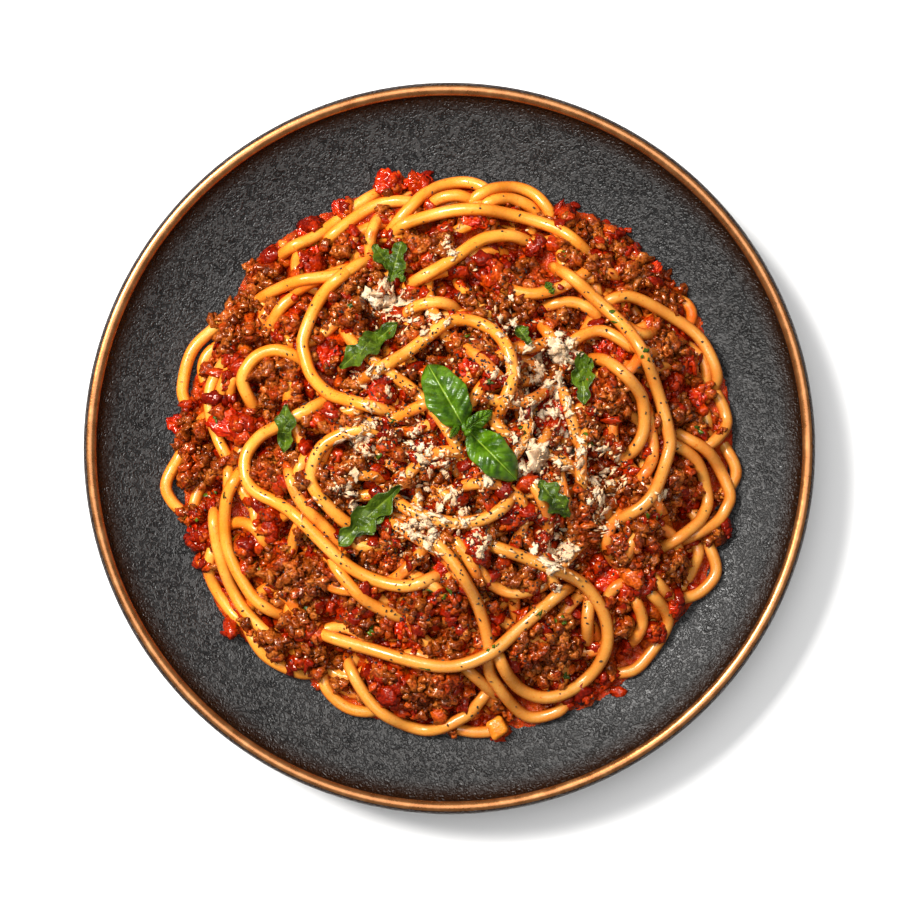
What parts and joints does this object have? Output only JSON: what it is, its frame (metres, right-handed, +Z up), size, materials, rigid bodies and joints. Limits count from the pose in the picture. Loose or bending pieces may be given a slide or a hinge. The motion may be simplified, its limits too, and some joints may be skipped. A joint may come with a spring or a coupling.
{
  "type": "plate of spaghetti bolognese",
  "caption": "Heap of spaghetti with meat sauce, cooked tomato, hard cheese, torn herbs and a basil tip on a dark speckled coupe plate with a gold lip.",
  "frame": {"origin": "centre of the plate's foot, on the table", "axes": "+Z up out of the plate, +Y away from the diner, +X to the diner's right"},
  "size_m": [0.23, 0.23, 0.0503],
  "materials": {
    "glaze": "dark grey speckled reactive glaze, gold lip",
    "pasta": "cooked pasta, oily and sauced",
    "meat": "wet minced meat in red sauce",
    "tomato": "wet cooked tomato",
    "cheese": "dry flaked hard cheese",
    "herb": "torn fresh herb",
    "basil": "fresh basil, slightly glossy"
  },
  "bodies": {
    "root": {"plate": "glaze", "spaghetti_heap": "pasta", "meat_sauce_01": "meat", "meat_sauce_02": "meat", "meat_sauce_03": "meat", "meat_sauce_04": "meat", "meat_sauce_05": "meat", "meat_sauce_06": "meat", "meat_sauce_07": "meat", "meat_sauce_08": "meat", "meat_sauce_09": "meat", "meat_sauce_10": "meat", "meat_sauce_11": "meat", "meat_sauce_12": "meat", "meat_sauce_13": "meat", "meat_sauce_14": "meat", "meat_sauce_15": "meat", "meat_sauce_16": "meat", "meat_sauce_17": "meat", "meat_sauce_18": "meat", "meat_sauce_19": "meat", "meat_sauce_20": "meat", "meat_sauce_21": "meat", "meat_sauce_22": "meat", "meat_sauce_23": "meat", "meat_sauce_24": "meat", "meat_sauce_25": "meat", "meat_sauce_26": "meat", "meat_sauce_27": "meat", "meat_sauce_28": "meat", "meat_sauce_29": "meat", "meat_sauce_30": "meat", "meat_sauce_31": "meat", "tomato_chunk_01": "tomato", "tomato_chunk_02": "tomato", "tomato_chunk_03": "tomato", "tomato_chunk_04": "tomato", "tomato_chunk_05": "tomato", "tomato_chunk_06": "tomato", "tomato_chunk_07": "tomato", "tomato_chunk_08": "tomato", "tomato_chunk_09": "tomato", "tomato_chunk_10": "tomato", "cheese_flake_1": "cheese", "cheese_flake_2": "cheese", "cheese_flake_3": "cheese", "cheese_flake_4": "cheese", "herb_leaf_1": "herb", "herb_leaf_2": "herb", "herb_leaf_3": "herb", "herb_leaf_4": "herb", "herb_leaf_5": "herb", "herb_leaf_6": "herb", "herb_leaf_7": "herb", "basil_bud": "basil", "basil_leaf_upper": "basil", "basil_leaf_lower": "basil", "basil_leaf_small": "basil"}
  },
  "joints": []
}
